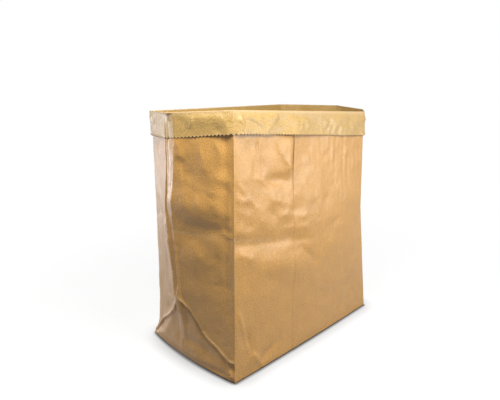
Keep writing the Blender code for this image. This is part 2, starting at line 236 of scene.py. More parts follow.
# The camera, fitted to the bag's corners and vanishing points: focal length as a share of
# the picture's width, place, and turn in degrees
SENSOR_WIDTH = 36.0
FOCAL_SHARE = 448.0 / 500.0
CAMERA_PLACE = (-0.8189, -0.7557, 0.5989)
CAMERA_YAW, CAMERA_PITCH = 45.12, 13.55

# Each lamp: name, the setting with its power, place, aim, size and colour
LAMPS = [
    ("key_lamp", "key", (-0.17, -0.80, 1.04), (-0.08, -0.15, 0.45), 0.32, (1, 1, 1)),
    ("back_lamp", "rim", (-0.8, 1.8, 0.12), (-0.25, 0.08, 0.20), 0.7, (1.0, 0.95, 0.97)),
    ("left_lamp", "left", (-0.52, -0.22, 0.98), (-0.25, -0.06, 0.58), 0.26, (1, 1, 1)),
    ("right_lamp", "right", (0.52, -0.90, 0.45), (-0.12, -0.15, 0.50), 0.36, (1, 1, 1))]
FLOOR_REACH = 12.0


def corner_lines():
    """The rim's corners, and each corner line as rows of height, x and y.

    A corner line leans in evenly from the base corner to the rim. The two edges of a
    soft corner leave the base corner together, and run beside the corner line from
    the height where the facet between them has its full width. Every line goes on for a
    tenth of its last stretch above the rim.
    """
    rim = []
    for body in STRIPS:
        joint = next(j for j in frame["joints"] if j["child"] == body)
        along = -Vector(joint["axis"])
        out = along.cross(Vector((0, 0, 1))).normalized()
        rim.append(np.array(Vector(joint["pos_m"]) - out * HINGE_OUT))
    lean_x = (HALF_WIDTH + rim[FRONT_LEFT][0]) / rim[FRONT_LEFT][2]
    lean_y = (HALF_DEPTH + rim[FRONT_LEFT][1]) / rim[FRONT_LEFT][2]
    corner_x = HALF_WIDTH - lean_x * FOOT_HEIGHT
    corner_y = HALF_DEPTH - lean_y * FOOT_HEIGHT
    gusset_slope = (FOOT_OUT - corner_x) / corner_y
    lines = []
    for corner, (x, y, z) in enumerate(rim):
        x_side, y_side = np.sign(x), np.sign(y)
        if corner in (LEFT_MIDDLE, RIGHT_MIDDLE):
            knots = [(0, x_side * (HALF_WIDTH + gusset_slope * HALF_DEPTH), 0),
                     (FOOT_HEIGHT, x_side * FOOT_OUT, 0), (z, x, y)]
        else:
            knots = [(0, x_side * HALF_WIDTH, y_side * HALF_DEPTH), (z, x, y)]
        if corner in SOFT_LINES:
            drop = z - SOFT_FULL
            knots.insert(1, (SOFT_FULL, x + x_side * lean_x * drop, y + y_side * lean_y * drop))
        ends = np.array(knots, dtype=float)
        ends = np.vstack([ends, ends[-1] + (ends[-1] - ends[-2]) * 0.1])
        heights = np.union1d(ends[:, 0], SAG_HEIGHTS) if corner == BACK_LEFT else ends[:, 0]
        across = np.interp(heights, ends[:, 0], ends[:, 1])
        back = np.interp(heights, ends[:, 0], ends[:, 2])
        if corner == BACK_LEFT:
            sag = np.interp(heights, SAG_HEIGHTS, SAG_REACH)
            across, back = across + SAG_WAY[0] * sag, back + SAG_WAY[1] * sag
        lines.append(np.array([heights, across, back]))
    return rim, lines


RIM, LINES = corner_lines()


def smooth(low, high, value):
    """0 below low, 1 above high, and 3w^2 - 2w^3 between."""
    share = np.clip((value - low) / (high - low), 0, 1)
    return share * share * (3 - 2 * share)


def smooth_fall(low, high, value):
    """1 below low, and 0 above high."""
    return 1 - smooth(low, high, value)


def soft_minimum(first, second, blend):
    """The smaller of two, rounded where they cross: min - blend/4 there."""
    share = np.clip(0.5 + (second - first) / (2 * blend), 0, 1)
    return second + (first - second) * share - blend * share * (1 - share)


def line_at(line, z):
    """x and y of a corner line at heights. A line that is no number is the front at that x."""
    if isinstance(line, int):
        heights, x, y = LINES[line % 8]
        return np.stack([np.interp(z, heights, x), np.interp(z, heights, y)], axis=-1)
    first, last = line_at(FRONT_LEFT, z), line_at(FRONT_RIGHT, z)
    share = (line - first[..., 0]) / (last[..., 0] - first[..., 0])
    return first + (last - first) * share[..., None]


def rim_at(line):
    """Height of the fold line over a corner line, or over the front at an x."""
    if isinstance(line, int):
        return RIM[line % 8][2]
    left, right = RIM[FRONT_LEFT], RIM[FRONT_RIGHT]
    return np.interp(line, [left[0], right[0]], [left[2], right[2]])


def stretch_length(stretch, z):
    """Width of a stretch of wall at heights."""
    return np.linalg.norm(line_at(stretch + 1, z) - line_at(stretch, z), axis=-1)


def turn_at(line, z):
    """Angle by which the wall turns at a corner line."""
    before = line_at(line, z) - line_at(line - 1, z)
    after = line_at(line + 1, z) - line_at(line, z)
    across = before[..., 0] * after[..., 1] - before[..., 1] * after[..., 0]
    return np.abs(np.arctan2(across, (before * after).sum(axis=-1)))


def radius_at(line, z, shape):
    """Radius of the rounding at a corner line. A soft corner's grows evenly with height."""
    if line % 8 in SOFT_LINES:
        growth = shape.soft_radius - SOFT_FOOT_RADIUS
        return SOFT_FOOT_RADIUS + growth * np.minimum(z / SOFT_FULL, 1)
    if line % 8 in (LEFT_MIDDLE, RIGHT_MIDDLE):
        return np.full_like(z, MIDDLE_RADIUS)
    if line % 8 == BACK_LEFT:
        return shape.crease_radius + SAG_RADIUS * smooth(0.40, 0.55, z)
    return np.full_like(z, shape.crease_radius)


def rounded_stretch(start, end, shares, z, shape):
    """Ring points of one stretch at heights, straight but for an arc at each corner line.

    Within reach = r tan(turn/2) of a corner, the point goes to the arc at the angle
    a = turn/2 (1 - gap/reach): along by reach - r sin a, and inwards by r (1 - cos a).
    """
    first, last = line_at(start, z), line_at(end, z)
    run = last - first
    length = np.linalg.norm(run, axis=-1)
    along = run / length[..., None]
    inward = np.stack([-along[..., 1], along[..., 0]], axis=-1)
    place = first + run * shares[..., None]
    for line, corner, gap, way in ((start, first, shares * length, 1),
                                   (end, last, (1 - shares) * length, -1)):
        if not isinstance(line, int):
            continue
        turn = turn_at(line, z)
        radius = radius_at(line, z, shape)
        reach = np.maximum(radius * np.tan(turn / 2), 1e-9)
        angle = turn / 2 * np.clip(1 - gap / reach, 0, 1)
        arc = (corner + along * (way * (reach - radius * np.sin(angle)))[..., None]
               + inward * (radius * (1 - np.cos(angle)))[..., None])
        place = np.where((gap < reach)[..., None], arc, place)
    return place


def folded_gusset(place, z):
    """A gusset's ring points, cut off by the foot below.

    |x| is the soft minimum of the half's own plane and the foot's plane,
    w + (foot out - w) z / foot height.
    """
    side = np.sign(place[..., 0])
    out = np.abs(place[..., 0])
    foot = HALF_WIDTH + (FOOT_OUT - HALF_WIDTH) * z / FOOT_HEIGHT
    return np.stack([side * soft_minimum(out, foot, FOOT_BLEND), place[..., 1]], axis=-1)


def normals_of(points, closed):
    """Unit normals of a grid: the cross product of its column and row differences."""
    if closed:
        across = np.roll(points, -1, axis=1) - np.roll(points, 1, axis=1)
    else:
        across = np.gradient(points, axis=1)
    up = np.gradient(points, axis=0)
    normal = np.cross(across, up)
    return normal / np.linalg.norm(normal, axis=-1, keepdims=True)


def lofted_wall(stretches, height_of, shape, closed):
    """Grid of the undented wall over stretches, with where each point lies on the bag.

    Each stretch is (start line, end line, shares along it). height_of turns the rim's
    height over each column, and its place along the rim, into the column's heights.
    """
    columns = []
    for number, (start, end, shares) in enumerate(stretches):
        home = start if isinstance(start, int) else FRONT_LEFT
        rim = rim_at(start) + (rim_at(end) - rim_at(start)) * shares
        z = height_of(number, rim, shares)
        level = np.maximum(z, LOWEST_RING)
        place = rounded_stretch(start, end, np.broadcast_to(shares, z.shape), level, shape)
        if home in GUSSET_STRETCHES:
            place = folded_gusset(place, level)
        first, last = line_at(home, level), line_at(home + 1, level)
        length = stretch_length(home, level)
        along = ((place - first) * (last - first)).sum(axis=-1) / length
        if home <= RIGHT_REAR:
            across = sum((stretch_length(k, level) for k in range(home)), along)
        else:
            across = along - sum(stretch_length(k, level) for k in range(home, 8))
        ends = (along - length) if home in (RIGHT_FRONT, BACK_LEFT) else along
        keep = slice(None) if number == len(stretches) - 1 and not closed else slice(None, -1)
        grid = {"x": place[..., 0], "y": place[..., 1], "z": z, "across": across,
                "from_middle": ends, "share": along / length,
                "home": np.full_like(z, home), "stretch": np.full_like(z, number)}
        columns.append({key: value[:, keep] for key, value in grid.items()})
    wall = {key: np.concatenate([part[key] for part in columns], axis=1) for key in columns[0]}
    wall["points"] = np.stack([wall["x"], wall["y"], wall["z"]], axis=-1)
    wall["normals"] = normals_of(wall["points"], closed)
    return wall


def rumple(across, z, cell, seed):
    """Noise from -1 to 1: random values on a lattice, blended with 3w^2 - 2w^3."""
    lattice = np.random.default_rng(seed).uniform(-1, 1, (64, 64))
    u, v = across / cell + 20.0, z / cell + 20.0
    column, row = np.floor(u).astype(int), np.floor(v).astype(int)
    u, v = smooth(0, 1, u - column), smooth(0, 1, v - row)

    def corner(right, up):
        return lattice[(column + right) % 64, (row + up) % 64]

    low = corner(0, 0) * (1 - u) + corner(1, 0) * u
    high = corner(0, 1) * (1 - u) + corner(1, 1) * u
    return low * (1 - v) + high * v


def waves(across, z, rows):
    """The sum of each row's height times its rumple."""
    return sum(height * rumple(across, z, cell, seed) for height, cell, seed in rows)


def facets(across, z, cell, seed):
    """Folded noise: 1 - 2 |rumple|, which is creased where the rumple crosses zero."""
    return 1 - 2 * np.abs(rumple(across, z, cell, seed))


def dent(across, z, centre, size, turn=0.0):
    """exp(-(p/a)^2 - (q/b)^2) about a centre, with its axes turned."""
    p, q = across - centre[0], z - centre[1]
    p, q = p * math.cos(turn) + q * math.sin(turn), q * math.cos(turn) - p * math.sin(turn)
    return np.exp(-(p / size[0]) ** 2 - (q / size[1]) ** 2)


def crease(across, z, start, end, width, other_width=None):
    """e^(-d/w) at a distance d from a line between two points, fading over its end quarters.

    The width w may be another one on the right of the line's way.
    """
    run = np.subtract(end, start)
    length = math.hypot(*run)
    p = ((across - start[0]) * run[0] + (z - start[1]) * run[1]) / length ** 2
    q = ((z - start[1]) * run[0] - (across - start[0]) * run[1]) / length
    spread = np.where(q > 0, width, other_width or width)
    fade = smooth(-0.02, 0.25, p) * smooth_fall(0.75, 1.02, p)
    return np.exp(-np.abs(q) / spread) * fade


def pressed(across, z, dents, creases):
    """The sum of each row's height times its dent or crease."""
    marks = [height * dent(across, z, *row) for height, *row in dents]
    marks += [height * crease(across, z, *row) for height, *row in creases]
    return sum(marks)


def panel_bulge(wall, shape):
    """The wide panels' bulge: sin^2 up the height, times a curve of the share s across.

    The curve is s^0.85 (1 - s^5) / 0.75 on the front, and 1 - |2s - 1|^2.6 on the back.
    """
    rise = np.clip(wall["z"] / BULGE_TOP, 0, 1)
    s = np.clip(wall["share"], 0, 1)
    front = s ** 0.85 * (1 - s ** 5) / 0.75
    back = 1 - np.abs(2 * s - 1) ** 2.6
    across = np.where(wall["home"] == FRONT_LEFT, front, back)
    wide = np.isin(wall["home"], (FRONT_LEFT, BACK_RIGHT))
    return np.where(wide, shape.bulge * across * np.sin(math.pi * rise) ** 2, 0)


def packing_height(a, z):
    """Height of the fold the flat bag was packed with. On the front it drops to the right."""
    fall = PACKING_FALL * np.clip(a, 0, 0.25)
    return PACKING_HEIGHT - fall + 0.004 * rumple(a, z * 0, 0.09, 5)


def packing_crease(a, z):
    """The packing fold: a valley -depth e^(-distance / width), which fades across the front."""
    depth = 0.0016 - 0.0004 * smooth(-0.02, 0.02, a)
    depth = depth * (1 - 0.9 * smooth(0.16, 0.28, a)) * (0.7 + 0.3 * rumple(a, z * 0, 0.05, 6))
    above = z - packing_height(a, z)
    depth = depth * (0.3 + 0.7 * smooth(0, 0.008, np.abs(a)))
    below = np.where(a > 0, 0.012, 0.006)
    return -depth * np.exp(-np.abs(above) / np.where(above > 0, 0.014, below))


def crumple(a, z, seed):
    """Many short straight creases, in or out, strewn over the sheet.

    Each has a length of 15 to 65 mm, a width of 2.5 to 9 mm and a height under 0.6 mm.
    """
    dice = np.random.default_rng(seed)
    moved = np.zeros_like(a)
    for _ in range(CRUMPLES):
        centre = np.array([dice.uniform(*CRUMPLE_REACH), dice.uniform(0.0, 0.56)])
        angle = dice.normal(0.2, 0.9)
        half = dice.uniform(0.008, 0.033) * np.array([math.cos(angle), math.sin(angle)])
        widths = dice.uniform(0.0025, 0.009, 2)
        height = dice.choice([-1, 1]) * dice.uniform(0.0002, 0.0006)
        near = (np.abs(a - centre[0]) < 0.06) & (np.abs(z - centre[1]) < 0.06)
        moved[near] += height * crease(a[near], z[near], centre - half, centre + half, *widths)
    return moved


def seam_facet(a, z):
    """The flat triangle left of the seam, which leans out from the cuff to its lower tip.

    Height = 7.5 mm times the share of the way down, between a slanting ridge and the seam,
    times e^(-distance / 18 mm) on the ridge's left.
    """
    ridge = np.interp(z, FACET_HEIGHTS, FACET_RIDGE)
    height = FACET_OUT * np.clip((0.535 - z) / 0.090, 0, 1) * smooth(0.416, 0.444, z)
    right = smooth_fall(0.160, 0.178, a)
    return height * np.where(a < ridge, np.exp(-(ridge - a) / 0.018), right)


def front_marks(a, z):
    """Folds and dents of the front, and its pleats: sines across the web."""
    marks = seam_facet(a, z) + pressed(a, z, FRONT_DENTS, FRONT_CREASES)
    pleats = np.sin(a * TURN / PLEATS[0] + 1.1) + np.sin(a * TURN / PLEATS[1])
    where = smooth(0.20, 0.30, a) * smooth_fall(0.42, 0.46, a) * smooth(0.27, 0.46, z)
    marks += 0.0003 * pleats * where * (0.6 + 0.8 * rumple(a, z, 0.06, 14))
    short = smooth(0.02, 0.05, a) * smooth_fall(0.08, 0.11, a) * smooth(0.34, 0.46, z)
    return marks + 0.0004 * np.sin(a * TURN / SHORT_PLEATS) * short


def near_gusset_marks(a, z):
    """Folds of the left gusset's front half, with a hollow strip e^-(distance / width)^2."""
    marks = pressed(a, z, GUSSET_DENTS, GUSSET_CREASES)
    marks += 0.0098 * dent(a, z, (-0.074, 0.374), (0.072, 0.030), -0.08) * smooth(0, 0.014, -a)
    marks -= 0.0030 * dent(a, z, (-0.060, 0.330), (0.070, 0.012), -0.04) * smooth(0, 0.010, -a)
    marks -= 0.0009 * np.exp(-((a + 0.0042) / 0.0026) ** 2) * smooth(0.05, 0.09, z)
    marks -= 0.0032 * np.exp(-((a + 0.018) / 0.010) ** 2) * smooth(0.10, 0.20, z)
    return marks * smooth(0, 0.0012, -a)


def behind_middle(wall):
    """Distance behind a gusset's middle line, on either side of the bag."""
    return np.where(wall["x"] < 0, -wall["from_middle"], wall["from_middle"])


def middle_fold(wall, shape):
    """The folded strip beside a gusset's middle line, and the riser behind it.

    The strip starts at a ridge, in front of the middle line, and turns back from the
    front half by its angle. It ends in a riser that faces forward, up to the rear
    half, which returns to its own plane 60 mm further back. All five measures change
    with height, as MIDDLE_FOLD's rows say.
    """
    z, t = wall["z"], behind_middle(wall)
    ridge, groove, angle, run, rise = (np.interp(z, MIDDLE_FOLD[0], row) for row in MIDDLE_FOLD[1:])
    turned = np.radians(angle)
    strip = (-np.tan(MIDDLE_TURN - turned) * np.clip(t - ridge, 0, np.minimum(groove, 0) - ridge)
             + np.tan(turned) * np.clip(t, 0, np.maximum(groove, 0)))
    past_riser = t - np.maximum(groove, 0)
    riser = rise * np.clip(past_riser / run, 0, 1)
    pinch = 0.0030 * crease(t, z, (0.002, 0.158), (0.012, 0.186), 0.003, 0.005)
    moved = (strip + riser) * smooth_fall(0, 0.060, past_riser - run) + pinch
    gusset = np.isin(wall["home"], GUSSET_STRETCHES)
    return np.where(gusset, moved * (1 - 0.5 * smooth(0.530, 0.560, z)), 0) * shape.middle_fold


def foot_marks(y, z, side):
    """The step where a gusset half laps over its foot, and the foot's own dents.

    q is the distance above the crease that runs up from the base corner. The lap is a
    ridge e^-(q / 2.1 mm)^2, a step down below it, and a wide waist e^(-|q| / 50 mm).
    """
    near, corner = y < 0, np.abs(y)
    q = (z - np.interp(y, FOOT_CREASE_Y, FOOT_CREASE_Z)) * FOOT_SLOPE
    size = np.where(near, 1.0, 0.62) * smooth(0.150, 0.144, corner) * smooth(0.004, 0.016, corner)
    ridge = 0.0034 * np.exp(-((q - 0.0016) / 0.0021) ** 2)
    step = -0.0054 * smooth(0.0008, -0.0016, q) * np.exp(np.minimum(q + 0.0016, 0) / 0.030)
    waist = -0.0055 * np.exp(-np.abs(q) / np.where(q > 0, 0.055, 0.045))
    marks = (ridge + step + waist * smooth_fall(0.10, 0.15, corner)) * size
    below = smooth(0.004, -0.004, q)
    marks -= 0.0044 * dent(y, z, (-0.050, 0.050), (0.055, 0.013), 0.16) * below
    marks += 0.0026 * dent(y, z, (-0.020, 0.020), (0.090, 0.009)) * below
    marks -= 0.0034 * dent(y, z, (-0.136, 0.030), (0.010, 0.012), -0.9) * near
    marks += 0.0085 * crease(y, z, (-0.1445, 0.004), (-0.130, 0.046), 0.0055, 0.0035) * near
    marks += pressed(y, z, FOOT_DENTS, FOOT_CREASES)
    return marks * np.where(side < 0, 1, 0.4)


def handling(wall, shape):
    """How far handling has moved the wall out or in: bulge, folds, dents and rumples."""
    a, z, home = wall["across"], wall["z"], wall["home"]
    moved = packing_crease(a, z)
    moved += np.where(home == FRONT_LEFT, front_marks(a, z) * smooth(0, 0.003, a), 0)
    left = np.isin(home, (BACK_LEFT, LEFT_MIDDLE))
    right = np.isin(home, (RIGHT_FRONT, RIGHT_MIDDLE))
    moved += np.where(left, near_gusset_marks(a, z), 0)
    moved += np.where(left | right, foot_marks(wall["y"], z, wall["x"]), 0)
    loose = waves(a, z, WALL_WAVES) + 0.0006 * facets(a, z, 0.050, 3) + 2.3 * crumple(a, z, 7)
    fine = np.sin(a * TURN / BACK_PLEATS + 2 * rumple(a, z, 0.05, 11))
    loose += 0.0002 * fine * (home == BACK_LEFT)
    folds = np.minimum(np.abs(a), np.where(home == BACK_LEFT, wall["share"] * 0.15, 1))
    loose *= smooth(0, 0.010, folds) * smooth(0.02, 0.08, np.minimum(z, 0.2) + 0.04)
    tight = np.isin(home, (FRONT_RIGHT, RIGHT_REAR)) * 0.75 + (home == RIGHT_FRONT) * 0.4
    loose *= (1 - tight) * np.where(home == LEFT_MIDDLE, 1.5, 1)
    moved += loose * (0.55 + 0.45 * smooth(0.12, 0.30, z))
    to_corner = np.where(home == RIGHT_REAR, 1 - wall["share"], 1)
    to_corner = np.where(home == BACK_RIGHT, wall["share"], to_corner)
    moved *= smooth(0, 0.15, to_corner) * shape.crinkle * smooth(0.0, 0.012, z)
    moved = (moved + panel_bulge(wall, shape)) * smooth_fall(0.500, 0.530, z)
    moved += middle_fold(wall, shape)
    radius = shape.base_radius
    low = np.clip(radius - z, 0, radius)
    return moved - (radius - np.sqrt(radius ** 2 - low ** 2))


def edge_lift(x, y, shape):
    """How far the base's edge has curled up off the floor: (1 - t^2)^0.7 along each side."""
    side = np.clip(1 - (y / HALF_DEPTH) ** 2, 0, 1) ** 0.7 * smooth(0.20, 0.25, np.abs(x))
    long = np.clip(1 - (x / HALF_WIDTH) ** 2, 0, 1) ** 0.7 * smooth(0.11, 0.148, np.abs(y))
    return shape.edge_lift * np.maximum(side, 0.4 * long)


def base_bow(x, y, shape):
    """How far the base's border bows outward in x and y: a parabola along each side.

    A point inside the base moves less, by the fourth power of its share of the way out.
    """
    across, along = np.clip(x / HALF_WIDTH, -1, 1), np.clip(y / HALF_DEPTH, -1, 1)
    ends = shape.base_bow * (1 - along ** 2) * np.sign(x) * across ** 4
    sides = 0.25 * shape.base_bow * (1 - across ** 2) * np.sign(y) * along ** 4
    return ends, sides


def dressed_wall(stretches, shape, closed):
    """The handled wall: lofted, moved along its normals, and lifted along the base's edge.

    Its rows follow the base fold round, then lie 2.5 mm apart up to 170 mm, and 5.3 mm
    apart from there to just below the rim.
    """
    radius = shape.base_radius
    low = radius * (1 - np.cos(np.radians([90, 65, 42, 20, 0])))[::-1]
    high = np.arange(0.0045, 0.170, 0.0025)
    upper = np.arange(0.173, TUBE_LENGTH, 0.0053)
    upper = upper[upper < ROW_TOP - 0.003]
    rise = np.append(np.concatenate([low, high, upper]) / ROW_TOP, 1.0)

    def height_of(_number, rim, _shares):
        return rise[:, None] * (rim - PLY)[None, :]

    wall = lofted_wall(stretches, height_of, shape, closed)
    points = wall["points"] + wall["normals"] * handling(wall, shape)[..., None]
    curl = edge_lift(wall["x"], wall["y"], shape) * np.exp(-wall["z"] / 0.03)
    ends, sides = base_bow(points[..., 0], points[..., 1], shape)
    fall = smooth_fall(0.0, 0.11, wall["z"])
    points += np.stack([ends * fall, sides * fall, curl], axis=-1)
    wall["points"] = points
    wall["normals"] = normals_of(points, closed)
    wall["worn"] = wear(wall)
    return wall


def wear(wall):
    """Where folding has broken the paper's surface: e^(-distance / width) beside each fold."""
    a, z, y = wall["across"], wall["z"], wall["y"]
    corner = 0.25 * np.exp(-np.abs(a) / 0.0012)
    packed = 0.45 * np.exp(-np.abs(z - packing_height(a, z)) / 0.0018)
    packed *= 1 - 0.9 * smooth(0.10, 0.26, a)
    crease_z = np.where(y < 0, np.interp(y, FOOT_CREASE_Y, FOOT_CREASE_Z),
                        FOOT_HEIGHT * (1 - y / HALF_DEPTH))
    foot = 0.8 * np.exp(-np.abs((z - crease_z) * FOOT_SLOPE - 0.002) / 0.0022)
    from_ridge = behind_middle(wall) - np.interp(z, MIDDLE_FOLD[0], MIDDLE_FOLD[1])
    ridge = 0.5 * np.exp(-np.abs(from_ridge) / 0.0014) * (z > FOOT_HEIGHT)
    gusset = np.isin(wall["home"], GUSSET_STRETCHES)
    foot *= (z < FOOT_HEIGHT + 0.01) * gusset
    return np.clip(np.maximum.reduce([corner, packed, foot, ridge * gusset]), 0, 1)


def quads(ids):
    """Faces between the neighbours of a grid of point numbers."""
    corners = [ids[:-1, :-1], ids[:-1, 1:], ids[1:, 1:], ids[1:, :-1]]
    return np.stack(corners, axis=-1).reshape(-1, 4)


def paper_mesh(name, points, faces, flat, worn):
    """A smooth mesh with a flat place at each face's corners and the wear at each point."""
    mesh = bpy.data.meshes.new(name)
    mesh.from_pydata(points.tolist(), [], faces.tolist())
    mesh.uv_layers.new(name="sheet").data.foreach_set("uv", flat.ravel())
    values = mesh.attributes.new("worn", "FLOAT", "POINT").data
    values.foreach_set("value", worn.astype(np.float32))
    mesh.polygons.foreach_set("use_smooth", np.ones(len(faces), dtype=bool))
    return mesh


def solid_sheet(name, outer, inner, sheet, worn, closed=False):
    """A sheet of paper with thickness: an outer and an inner grid, joined round their borders.

    A closed sheet's last column joins its first. sheet gives each grid point its place
    on the flat paper, with one column more where the sheet is closed. Edges between a
    face and a border are sharp.
    """
    rows, columns = outer.shape[:2]
    count = rows * columns
    ids = np.arange(count).reshape(rows, columns)
    places = np.arange(sheet.shape[0] * sheet.shape[1]).reshape(sheet.shape[:2])
    if closed:
        ids = np.hstack([ids, ids[:, :1]])
    faces = [quads(ids), quads(ids)[:, ::-1] + count]
    spots = [quads(places), quads(places)[:, ::-1]]
    borders = [(ids[0], places[0]), (ids[-1][::-1], places[-1][::-1])]
    if not closed:
        borders += [(ids[:, -1], places[:, -1]), (ids[::-1, 0], places[::-1, 0])]
    for line, flat in borders:
        faces.append(np.stack([line[:-1], line[:-1] + count, line[1:] + count, line[1:]], axis=-1))
        spots.append(np.stack([flat[:-1], flat[:-1], flat[1:], flat[1:]], axis=-1))
    faces, spots = np.concatenate(faces), np.concatenate(spots)
    points = np.concatenate([outer.reshape(-1, 3), inner.reshape(-1, 3)])
    points[:, 2] = np.maximum(points[:, 2], 0)
    flat = sheet.reshape(-1, 2)[spots.ravel()]
    mesh = paper_mesh(name, points, faces, flat, np.tile(worn.ravel(), 2))
    rim = np.zeros(ids.shape, dtype=bool)
    rim[0], rim[-1] = True, True
    if not closed:
        rim[:, 0], rim[:, -1] = True, True
    on_rim = np.zeros(2 * count, dtype=bool)
    on_rim[ids[rim]] = True
    on_rim[ids[rim] + count] = True
    ends = np.zeros(2 * len(mesh.edges), dtype=np.int32)
    mesh.edges.foreach_get("vertices", ends)
    ends = ends.reshape(-1, 2)
    sharp = on_rim[ends].all(axis=1) & ((ends < count).sum(axis=1) != 1)
    mesh.attributes.new("sharp_edge", "BOOLEAN", "EDGE").data.foreach_set("value", sharp)
    return add_piece(name, mesh)


def add_piece(name, mesh):
    """An object at the origin for a finished mesh."""
    mesh.update()
    piece = bpy.data.objects.new(name, mesh)
    bpy.context.scene.collection.objects.link(piece)
    return piece


def flat_places(wall, closed):
    """Places on the flat paper: the distance summed across the web at mid height, and height."""
    middle = wall["points"][wall["points"].shape[0] // 2]
    steps = np.linalg.norm(np.diff(middle, axis=0), axis=-1)
    if closed:
        steps = np.append(steps, np.linalg.norm(middle[0] - middle[-1]))
    across = np.concatenate([[0], np.cumsum(steps)])
    rows = wall["z"].shape[0]
    heights = wall["z"][:, :1] + np.zeros(len(across))
    return np.stack([np.broadcast_to(across, (rows, len(across))), heights], axis=-1)


def spaced(count, length=1.0, at_start=(), at_end=()):
    """Shares from 0 to 1, even but for given distances from each end."""
    shares = np.linspace(0, 1, count + 1)
    first, last = np.array(at_start) / length, 1 - np.array(at_end) / length
    room = 0.3 / count
    clear = (shares > max(first, default=0) + room) & (shares < min(last, default=1) - room)
    return np.unique(np.concatenate([[0, 1], first, last, shares[clear]]))


def middle_shares(reverse):
    """Shares along a left gusset half that crowd towards its middle line."""
    gaps = np.concatenate([np.arange(0, 0.027, 0.0015), np.arange(0.030, 0.143, 0.0035)])
    shares = np.unique(np.concatenate([gaps, HALF_DEPTH - np.array([0, *SHARP])]) / HALF_DEPTH)
    return np.sort(1 - shares) if reverse else shares


def wall_stretches(lapped):
    """The stretches of a ply with their columns. The outer ply starts and ends at its lap."""
    round_bag = [
        (FRONT_RIGHT, RIGHT_FRONT, spaced(12)),
        (RIGHT_FRONT, RIGHT_MIDDLE, spaced(12, GUSSET_SPAN, SOFT, BEFORE_MIDDLE)),
        (RIGHT_MIDDLE, RIGHT_REAR, spaced(12, GUSSET_SPAN, AFTER_MIDDLE, SOFT)),
        (RIGHT_REAR, BACK_RIGHT, spaced(8)),
        (BACK_RIGHT, BACK_LEFT, spaced(32, PANEL_SPAN, SOFT, SHARP)),
        (BACK_LEFT, LEFT_MIDDLE, middle_shares(True)),
        (LEFT_MIDDLE, 8, middle_shares(False)),
    ]
    if not lapped:
        return [(FRONT_LEFT, FRONT_RIGHT, spaced(100, PANEL_SPAN, SHARP, SOFT)), *round_bag]
    edge = (0.001, 0.003, LAP_X - SEAM_X, LAP_X - SEAM_X + 0.003)
    return [(SEAM_X, FRONT_RIGHT, spaced(72, RIGHT_SHEET_SPAN, edge, SOFT)), *round_bag,
            (FRONT_LEFT, LAP_X, spaced(56, LEFT_SHEET_SPAN, SHARP, (0.002,)))]


def build_outer_ply(shape):
    """The outer ply: one sheet round the bag whose right end laps over its left end.

    The edge on top thins by e^(-distance / 1.2 mm) and gapes by e^(-distance / 7 mm).
    """
    wall = dressed_wall(wall_stretches(lapped=True), shape, closed=False)
    x, z = wall["x"], wall["z"]
    on_top = wall["stretch"] == 0
    over = smooth_fall(LAP_X + 0.0005, LAP_X + 0.004, x)
    loose = 0.0007 * np.exp(-(x - SEAM_X) / 0.007) * smooth(0.36, 0.48, z)
    under = -0.0002 * smooth(SEAM_X - 0.040, SEAM_X, x) * (wall["stretch"] == 8)
    feather = np.where(on_top, np.exp(-(x - SEAM_X) / 0.0012), 0)
    flat = smooth_fall(0.34, 0.40, z)
    lapped = 0.0003 * over * (1 - feather * flat) + loose - 0.00005 * feather
    outer = wall["points"] + wall["normals"] * np.where(on_top, lapped, under)[..., None]
    inner = outer - wall["normals"] * (PLY * (1 - 0.75 * feather))[..., None]
    # Painted highlight: above 0.40 m, where the lapping edge stands loose, it takes the pale worn
    # colour as if catching the light
    worn = np.clip(wall["worn"] + 0.5 * feather * (1 - flat), 0, 1)
    return solid_sheet("outer_ply", outer, inner, flat_places(wall, False), worn)


def build_liner_ply(shape):
    """The liner: a closed tube one layer and a small gap inside the outer ply."""
    wall = dressed_wall(wall_stretches(lapped=False), shape, closed=True)
    outer = wall["points"] - wall["normals"] * (LAYER + LINER_GAP)
    inner = outer - wall["normals"] * PLY
    return solid_sheet("liner_ply", outer, inner, flat_places(wall, True), wall["worn"], closed=True)


def rim_ring(shape):
    """The fold line round the bag: rim points and level outward normals."""
    spans = [(90, PANEL_SPAN), (16, CORNER_SPAN), (30, GUSSET_SPAN), (30, GUSSET_SPAN),
             (16, CORNER_SPAN), (80, PANEL_SPAN), (45, HALF_DEPTH), (45, HALF_DEPTH)]
    stretches = [(k, k + 1, spaced(count, length, SHARP if k in (0, 7) else SOFT,
                                   SHARP if k in (5, 7) else SOFT))
                 for k, (count, length) in enumerate(spans)]

    def height_of(_number, rim, _shares):
        return np.stack([rim - 0.002, rim, rim + 0.002])

    wall = lofted_wall(stretches, height_of, shape, closed=True)
    level = wall["normals"][1] * (1, 1, 0)
    return wall["points"][1], level / np.linalg.norm(level, axis=-1, keepdims=True)


def build_rim_fold(shape):
    """The rounded fold on the rim: a circle of radius r about the fold line.

    point = fold line + r (cos a outwards + sin a upwards).
    """
    line, out = rim_ring(shape)
    line = line + out * HINGE_OUT
    angles = np.linspace(0, TURN, 12, endpoint=False)
    up = np.array([0, 0, 1.0])
    ring = np.cos(angles)[:, None, None] * out + np.sin(angles)[:, None, None] * up
    points = line + ring * shape.fold_radius
    rows, columns = points.shape[:2]
    ids = np.arange(rows * columns).reshape(rows, columns)
    faces = quads(np.pad(ids, ((0, 1), (0, 1)), mode="wrap"))
    along = np.cumsum(np.linalg.norm(np.diff(line, axis=0, append=line[:1]), axis=-1))
    flat = np.stack(np.broadcast_arrays(along[None, :], 0.56 + angles[:, None] * 0.0016), axis=-1)
    flat = flat.reshape(-1, 2)[faces.ravel()]
    worn = np.full(rows * columns, 0.55)
    return add_piece("rim_fold", paper_mesh("rim_fold", points.reshape(-1, 3), faces, flat, worn))


